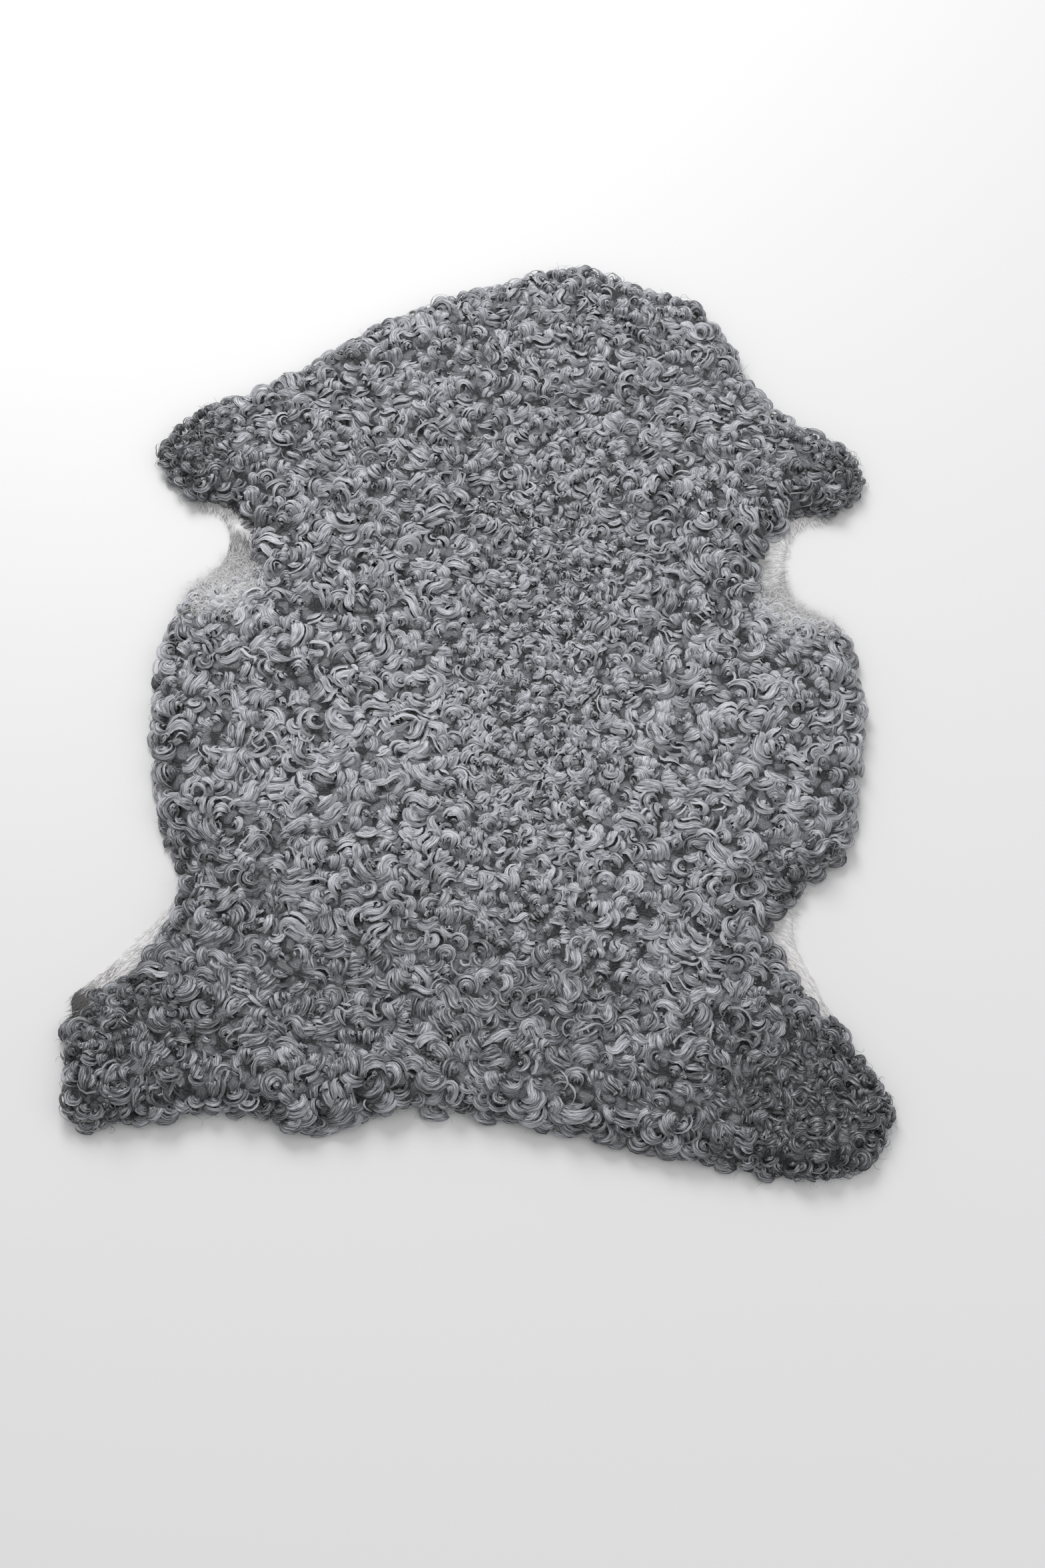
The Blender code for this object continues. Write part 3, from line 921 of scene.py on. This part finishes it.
underwool = {
    "pitch": 0.0068,
    "inset": 0.010,
    "share": 0.83,  # height over that of the curls
    "least": 0.002,  # height over the skin, at least
    "foot": 0.0012,  # and where it starts
    "sunk": 0.0014,  # how deep its edge lies in the skin
    "base": 0.0016,  # and its flat underside
    "lump": 0.0030,
    "lumpLength": 0.012,
    "rise": 0.012,
    "whorl": 0.0125,  # across one of its small curls
    "bend": 0.016,  # how far they are pulled out of round
    "bendScale": 70.0,
    "strand": 0.0032,
    "fibre": 0.00115,
    "fuzz": 9.0,  # radians by which its strands and fibres waver
    "fuzzScale": 380.0,
    "strandDepth": 0.09,
    "fibreDepth": 0.09,
    "fuzzDepth": 0.5,
    "hollow": (0.22, 0.66),  # from a curl's middle, in whorls
    # painted shade between its small curls, and how deep its bumps dip there
    "hollowShadeAndDip": 0.46,  # how much darker it is between its curls
    "light": 0.34,
    # shade is painted shade: the underwool darker than the curls, as it lies in the gaps between them
    "shade": 0.56,  # its brightness beside that of the curls
    "puff": (0.5, 1.25),  # where the pale fluff starts to fade and ends, in half widths of its zone
    "puffLight": 0.50,
    "puffShade": 0.85,
    "bump": 0.0012,
}


# A grid trimmed to a line inside the outline, with its border drawn onto that line.
def gridInside(name, pitch, inset):
    deselectAll()
    width, length = skin["grid"]
    bpy.ops.mesh.primitive_grid_add(
        x_subdivisions=int(width / pitch), y_subdivisions=int(length / pitch), size=1.0
    )
    piece = bpy.context.object
    piece.name = piece.data.name = name
    bpy.ops.transform.resize(value=(width, length, 1.0))
    bpy.ops.object.transform_apply(scale=True)
    spots = cornersOf(piece)
    selectCorners(piece, inset(spots[:, 0], spots[:, 1]) < 0.45 * pitch)
    bpy.ops.object.mode_set(mode="EDIT")
    bpy.ops.mesh.delete(type="VERT")
    bpy.ops.object.mode_set(mode="OBJECT")
    drawToLine(piece, inset)
    return piece


# Draws the border of an open sheet onto the line where inset is nought.
def drawToLine(piece, inset):
    makeActive(piece)
    bpy.ops.object.mode_set(mode="EDIT")
    bpy.ops.mesh.select_all(action="SELECT")
    bpy.ops.mesh.region_to_loop()
    bpy.ops.object.mode_set(mode="OBJECT")
    border = np.array([vertex.select for vertex in piece.data.vertices])
    spots = cornersOf(piece)
    for _ in range(2):
        x, y = spots[border, 0], spots[border, 1]
        deep = inset(x, y)
        spots[border, 0] = x + field.read("outX", x, y) * deep
        spots[border, 1] = y + field.read("outY", x, y) * deep
    setCorners(piece, spots)
    return border


def cornersOf(piece):
    spots = np.zeros(len(piece.data.vertices) * 3)
    piece.data.vertices.foreach_get("co", spots)
    return spots.reshape(-1, 3)


def setCorners(piece, spots):
    piece.data.vertices.foreach_set("co", spots.ravel())
    piece.data.update()


# Selects corners in code, with nothing else selected.
def selectCorners(piece, chosen):
    makeActive(piece)
    bpy.ops.object.mode_set(mode="EDIT")
    bpy.ops.mesh.select_mode(type="VERT")
    bpy.ops.mesh.select_all(action="DESELECT")
    bpy.ops.object.mode_set(mode="OBJECT")
    piece.data.vertices.foreach_set("select", np.asarray(chosen, bool))


# Draws the border down to a level and closes the underside with one flat face.
def closeBelow(piece, level):
    makeActive(piece)
    bpy.ops.object.mode_set(mode="EDIT")
    bpy.ops.mesh.select_mode(type="EDGE")
    bpy.ops.mesh.select_all(action="SELECT")
    bpy.ops.mesh.region_to_loop()
    bpy.ops.mesh.extrude_edges_move()
    bpy.ops.object.mode_set(mode="OBJECT")
    spots = cornersOf(piece)
    drawn = np.array([vertex.select for vertex in piece.data.vertices])
    spots[drawn, 2] = level
    setCorners(piece, spots)
    bpy.ops.object.mode_set(mode="EDIT")
    bpy.ops.mesh.edge_face_add()
    bpy.ops.mesh.select_all(action="SELECT")
    bpy.ops.mesh.normals_make_consistent(inside=False)
    bpy.ops.object.mode_set(mode="OBJECT")
    piece.data.shade_smooth()


# Where the bare skin and its hair are darker: at the left hind leg's corner and in the armpits.
skinPatches = [
    # name, x, y, radius, share of the light that is lost
    ("cornerLeft", -0.390, -0.424, 0.038, 0.88),
    ("underFold", -0.314, 0.112, 0.034, 0.64),
    ("armpitLeft", -0.334, 0.150, 0.018, 0.25),
    ("armpitRight", 0.281, 0.161, 0.012, 0.35),
    ("flankRight", 0.378, -0.336, 0.026, 0.45),
]


def skinMaterial():
    material, tree = newMaterial("bare_skin", 0.62, 0.05, 0.3)
    place = addNode(tree, "ShaderNodeTexCoord", None, None, "Object")
    cloud = noiseNode(tree, place, 55.0, 2.0, 0.5)
    pores = noiseNode(tree, place, 650.0, 2.0, 0.6)
    shade = 1.0
    for name, x, y, radius, loss in skinPatches:
        shade = shade - patchNode(tree, place, x, y, radius * 0.3, radius, loss)
    finishMaterial(cloud * 0.6 + pores * 0.4, skin["stops"], shade, 0.4, 0.0005, pores)
    return material


# The skin ends a lock's length inside the wool's reach, and at the outline where it is bare.
def skinInset(x, y):
    return field.read("inset", x, y) - field.read("lock", x, y)


# Height of the skin's upper side, with the small fold by the left front leg.
def skinLevel(x, y):
    start, end = np.array(skin["foldStart"]), np.array(skin["foldEnd"])
    length = np.linalg.norm(end - start)
    way = (end - start) / length
    along = ((x - start[0]) * way[0] + (y - start[1]) * way[1]) / length
    side = (y - start[1]) * way[0] - (x - start[0]) * way[1]
    width = np.where(side < 0, skin["foldSteep"], skin["foldGentle"])
    crest = np.exp(-(side / width) ** 2) * smooth((along + 0.15) / 0.15) * smooth((1.15 - along) / 0.4)
    return skin["thick"] + skin["foldHeight"] * crest


def addSkin():
    piece = gridInside("skin", skin["pitch"], skinInset)
    spots = cornersOf(piece)
    bare = field.read("bare", spots[:, 0], spots[:, 1])
    seen = skinInset(spots[:, 0], spots[:, 1]) < bare + skin["fineUnder"]
    selectCorners(piece, (bare > skin["fineFrom"]) & seen)
    bpy.ops.object.mode_set(mode="EDIT")
    bpy.ops.mesh.select_mode(type="FACE")
    bpy.ops.mesh.subdivide(number_cuts=2)
    bpy.ops.object.mode_set(mode="OBJECT")
    border = drawToLine(piece, skinInset)
    spots = cornersOf(piece)
    spots[:, 2] = np.where(border, skin["edge"], skinLevel(spots[:, 0], spots[:, 1]))
    setCorners(piece, spots)
    closeBelow(piece, 0.0)
    piece.data.materials.append(skinMaterial())
    return piece


# Small curls drawn as spirals round the points of a cell pattern, with painted shade between them.
def underwoolMaterial():
    material, tree = newMaterial("underwool", 0.75, 0.1, 0.2)
    place = addNode(tree, "ShaderNodeTexCoord", None, None, "Object")
    pull = noiseNode(tree, place, underwool["bendScale"], 1.0, 0.5, output="Color")
    fuzz = noiseNode(tree, place, underwool["fuzzScale"], 3.0, 0.65)
    bent = addNode(
        tree, "ShaderNodeVectorMath", {"operation": "MULTIPLY_ADD"},
        {0: pull, 1: (underwool["bend"],) * 3, 2: place},
    )
    away = addNode(
        tree, "ShaderNodeTexVoronoi", {"voronoi_dimensions": "2D"},
        {"Vector": bent, "Scale": 1 / underwool["whorl"]}, "Distance",
    )
    middle = Value(tree, away.socket.node.outputs["Position"])
    offset = addNode(tree, "ShaderNodeVectorMath", {"operation": "SUBTRACT"}, {0: bent, 1: middle})
    x, y = splitNode(tree, offset)
    angle = mathNode(tree, "ARCTAN2", y, x)

    def spiral(width, arms):
        turns = away * (2 * math.pi * underwool["whorl"] / width)
        return mathNode(tree, "SINE", turns + angle * arms + fuzz * underwool["fuzz"])

    strand, fibre = spiral(underwool["strand"], 2), spiral(underwool["fibre"], 5)
    # hollow is painted shade between the small curls, and also sinks their bumps
    hollow = fadeNode(tree, away, *underwool["hollow"], 0.0, underwool["hollowShadeAndDip"])
    light = strand * underwool["strandDepth"] + fibre * underwool["fibreDepth"]
    light = light + fuzz * underwool["fuzzDepth"] - hollow + underwool["light"]
    near, far = underwool["puff"]
    # painted shade of the underwool in the gaps between the curls, lifted where the pale fluff is
    shade = underwool["shade"]
    for row in puffZones:
        puff = patchNode(tree, place, row[1], row[2], row[3] * near, row[3] * far, 1.0)
        light, shade = light + puff * underwool["puffLight"], puff * underwool["puffShade"] + shade
    relief = strand * 0.5 + fibre * 0.16 - hollow * 2.0
    finishMaterial(light, wool["stops"], shade, 0.7, underwool["bump"], relief)
    return material


def addUnderwool():
    piece = gridInside(
        "underwool", underwool["pitch"], lambda x, y: field.read("inset", x, y) - underwool["inset"]
    )
    spots = cornersOf(piece)
    x, y = spots[:, 0], spots[:, 1]
    inside = field.read("inset", x, y) - field.read("bare", x, y) - underwool["inset"]
    rise = smooth(inside / underwool["rise"])
    lumps = np.array([noise.noise(Vector((a, b, 0.3)) / underwool["lumpLength"]) for a, b in zip(x, y)])
    height = pileAt(x, y) * underwool["share"] + lumps * underwool["lump"]
    low = skin["thick"] + np.where(inside < 0, -underwool["sunk"], underwool["foot"])
    spots[:, 2] = mixed(low, np.maximum(height, skin["thick"] + underwool["least"]), rise)
    setCorners(piece, spots)
    closeBelow(piece, skin["thick"] - underwool["base"])
    piece.data.materials.append(underwoolMaterial())
    return piece


# Loose hair: short on the bare skin, uncurled fluff by the armpits, and fuzz round the rim

# Lengths in metres, bend and wave in degrees. drop is how far the tip is below the root.
hairKinds = {
    "short": {
        "length": 0.0080, "bend": (5, 45), "wave": 16, "width": 0.00042, "lift": 0.0002, "drop": 0.0,
        "stations": 4,
        "density": 22e4,  # hairs on a square metre where cover is 1
        "from": 0.0015,  # width of bare strip from which there are any
        "overlap": 0.010,  # how far they run in under the wool
        "spread": 0.22,  # radians that headings stray
        "height": 0.0002,
        "tone": 1.0,
    },
    "fluff": {
        "length": 0.016, "bend": (40, 190), "wave": 14, "width": 0.00030, "lift": 0.0012, "drop": 0.001,
        "stations": 4,
        "count": 2200,  # on each side
        "reach": (0.85, 1.05),  # across and along, in half sizes of its zone
        "heights": (0.35, 1.1),  # from the skin, over the pile's height
        "least": 0.002,
        "tone": 1.0,
        # painted shade on the hairs low in the fluff
        "deepPaintedShade": 0.14,  # how much darker it is at the bottom
        "edgeTone": 0.10,  # and towards its edge
    },
    "fuzz": {
        "length": 0.015, "bend": (70, 300), "wave": 25, "width": 0.00045, "lift": 0.0025, "drop": 0.004,
        "stations": 6,
        "count": 900,
        "bare": 0.003,  # widest bare strip beside which there is any
        "inset": (0.002, 0.016),
        "aside": 0.002,
        "heights": (0.2, 0.95),
        "least": 0.002,
        "spread": 0.8,
        "tone": 0.62,
        "toneSpread": 0.10,
    },
}

# Which way the short hair lies on the bare skin, in degrees from +X, what share of it is dark,
# how dark that share is and how much of the skin it covers. Between the places it is blended.
hairPlaces = [
    # name, x, y, heading, dark, tone, cover
    ("flankLeftTop", -0.312, -0.293, 262, 0.12, 0.60, 0.60),
    ("flankLeftUpper", -0.318, -0.325, 242, 0.05, 0.70, 0.50),
    ("flankLeftMiddle", -0.338, -0.356, 222, 0.05, 0.70, 0.50),
    ("flankLeftLower", -0.366, -0.388, 230, 0.45, 0.40, 0.90),
    ("flankLeftCorner", -0.388, -0.414, 228, 0.96, 0.12, 1.00),
    ("flankRightTop", 0.311, -0.226, -10, 0.15, 0.60, 0.60),
    ("flankRightMiddle", 0.326, -0.258, -35, 0.05, 0.70, 0.50),
    ("flankRightLow", 0.350, -0.292, -52, 0.08, 0.65, 0.50),
    ("flankRightEnd", 0.374, -0.330, -58, 0.35, 0.45, 0.80),
    ("armpitRightTop", 0.286, 0.216, -75, 0.15, 0.55, 0.70),
    ("armpitRightMiddle", 0.274, 0.189, 12, 0.05, 0.65, 0.70),
    ("armpitRightDark", 0.278, 0.162, 35, 0.40, 0.45, 0.90),
    ("armpitRightLow", 0.290, 0.140, -25, 0.12, 0.60, 0.80),
    ("armpitLeftTop", -0.334, 0.153, -85, 0.35, 0.40, 0.90),
    ("foldLeft", -0.315, 0.133, -70, 0.00, 0.50, 1.00),
    ("underFoldLeft", -0.316, 0.121, -90, 0.85, 0.38, 1.00),
    ("armpitLeftLow", -0.312, 0.100, -95, 0.75, 0.44, 1.00),
]

looseHair = {
    "seed": 9,
    "thick": 0.25,
    "clearance": 0.0007,  # over the floor
    "toneSpread": 0.06,
    "lengths": (0.65, 1.3),
    "widths": (0.7, 1.4),
    "tipWidth": 0.35,
    "lifts": (0.4, 1.4),
    "beats": (0.6, 1.5),  # waves along a hair
}


def combHair(kindName, x, y, heading, low, tone, luck):
    kind = hairKinds[kindName]
    each, stations = (len(x), 1), kind["stations"]
    t = np.linspace(0.0, 1.0, stations)[None]
    length = kind["length"] * luck.uniform(*looseHair["lengths"], each)
    hand = np.where(luck.random(each) < 0.5, 1.0, -1.0)
    bend = np.radians(luck.uniform(*kind["bend"], each)) * hand
    beat = t * luck.uniform(*looseHair["beats"], each) + luck.random(each)
    wave = np.radians(kind["wave"]) * np.sin(fullTurn * beat)
    angle = heading[:, None] + bend * (t - 0.3) + wave
    middle = (angle[:, 1:] + angle[:, :-1]) / 2
    steps = np.stack((np.cos(middle), np.sin(middle)), -1) * (length / (stations - 1))[..., None]
    path = np.concatenate((np.zeros((*each, 2)), np.cumsum(steps, 1)), 1) + np.stack((x, y), -1)[:, None]
    lift = kind["lift"] * luck.uniform(*looseHair["lifts"], each)
    level = low[:, None] + lift * np.sin(math.pi * t * 0.9) - kind["drop"] * t ** 2
    points = np.concatenate((path, np.maximum(level, looseHair["clearance"])[..., None]), -1)
    up = np.broadcast_to(np.array((0, 0, 1.0)), points.shape)
    width = kind["width"] * luck.uniform(*looseHair["widths"], each)
    width = width * mixed(1.0, looseHair["tipWidth"], t ** 2)
    return combed(points, up, width, looseHair["thick"], tone)


def shortHair(luck):
    kind = hairKinds["short"]
    rows = np.array([row[1:] for row in hairPlaces])
    low, high = rows[:, :2].min(0) - 0.05, rows[:, :2].max(0) + 0.05
    x, y = luck.uniform(low, high, (int(kind["density"] * np.prod(high - low)), 2)).T
    inset, bare = field.read("inset", x, y), field.read("bare", x, y)
    own = (bare > kind["from"]) & (inset > 0.0003) & (inset < bare + kind["overlap"])
    x, y = x[own], y[own]
    near = 1 / (np.hypot(x[:, None] - rows[:, 0], y[:, None] - rows[:, 1]) ** 3 + 1e-7)
    near /= near.sum(1, keepdims=True)
    way = np.radians(rows[:, 2])
    heading = np.arctan2(near @ np.sin(way), near @ np.cos(way))
    heading = heading + luck.normal(0, kind["spread"], len(x))
    dark, darkTone, cover = (near @ rows).T[3:]
    onFold = smooth((skinLevel(x, y) - skin["thick"]) / skin["foldHeight"] * 2.5)
    kept = luck.random(len(x)) < np.maximum(cover, onFold)
    isDark = luck.random(len(x)) < dark * (1 - onFold)
    tone = np.where(isDark, darkTone, kind["tone"])
    tone = tone + luck.normal(0, looseHair["toneSpread"], len(x))
    x, y, heading, tone = (values[kept] for values in (x, y, heading, tone))
    return combHair("short", x, y, heading, skinLevel(x, y) + kind["height"], tone, luck)


def fluff(luck, zone):
    kind = hairKinds["fluff"]
    turn = luck.uniform(0, fullTurn, kind["count"])
    away = luck.random(kind["count"]) ** 0.6
    across, along = kind["reach"]
    x = zone[1] + np.cos(turn) * away * zone[3] * across
    y = zone[2] + np.sin(turn) * away * zone[4] * along
    own = field.read("inset", x, y) > 0.001
    x, y, away = x[own], y[own], away[own]
    heading = luck.uniform(0, fullTurn, len(x))
    depth = luck.random(len(x))
    high = np.maximum(pileAt(x, y) - skin["thick"], kind["least"])
    low = skin["thick"] + high * mixed(*kind["heights"], depth)
    # painted shade on the low hairs, and a darker tone towards the zone's edge
    shade = kind["deepPaintedShade"] * (1 - depth) + kind["edgeTone"] * away ** 2
    tone = kind["tone"] - shade + luck.normal(0, looseHair["toneSpread"], len(x))
    return combHair("fluff", x, y, heading, low, tone, luck)


def fuzz(luck):
    kind = hairKinds["fuzz"]
    wooly = outline[outline[:, 4] < kind["bare"]]
    x, y, outX, outY, bare, lock = wooly[luck.integers(0, len(wooly), kind["count"])].T
    back = luck.uniform(*kind["inset"], len(x))
    aside = luck.normal(0, kind["aside"], len(x))
    x, y = x - outX * back - outY * aside, y - outY * back + outX * aside
    heading = np.arctan2(outY, outX) + luck.normal(0, kind["spread"], len(x))
    low = np.maximum(pileAt(x, y) * luck.uniform(*kind["heights"], len(x)), kind["least"])
    tone = kind["tone"] + field.read("tone", x, y) + luck.normal(0, kind["toneSpread"], len(x))
    return combHair("fuzz", x, y, heading, low, tone, luck)


def addLooseHair():
    luck = np.random.default_rng(looseHair["seed"])
    pale = woolMaterial("pale_hair", wool["paleStops"], depth=0.25, rootShade=0.97)
    short = joinStrands("short_hair", [shortHair(luck)], pale)
    puff = joinStrands("armpit_fluff", [fluff(luck, zone) for zone in puffZones], pale)
    rim = joinStrands("rim_fuzz", [fuzz(luck)], bpy.data.materials["wool_strands"])
    return short, puff, rim


hide = addSkin()
print("skin", len(hide.data.polygons), "faces")
tangle = addUnderwool()
print("underwool", len(tangle.data.polygons), "faces")
curls = addCurls()
loose = addLooseHair()

woolPieces = [tangle, *curls, *loose]
for piece in [hide, *woolPieces]:
    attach(piece, "root")
    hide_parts("sheepskin")

deselectAll()
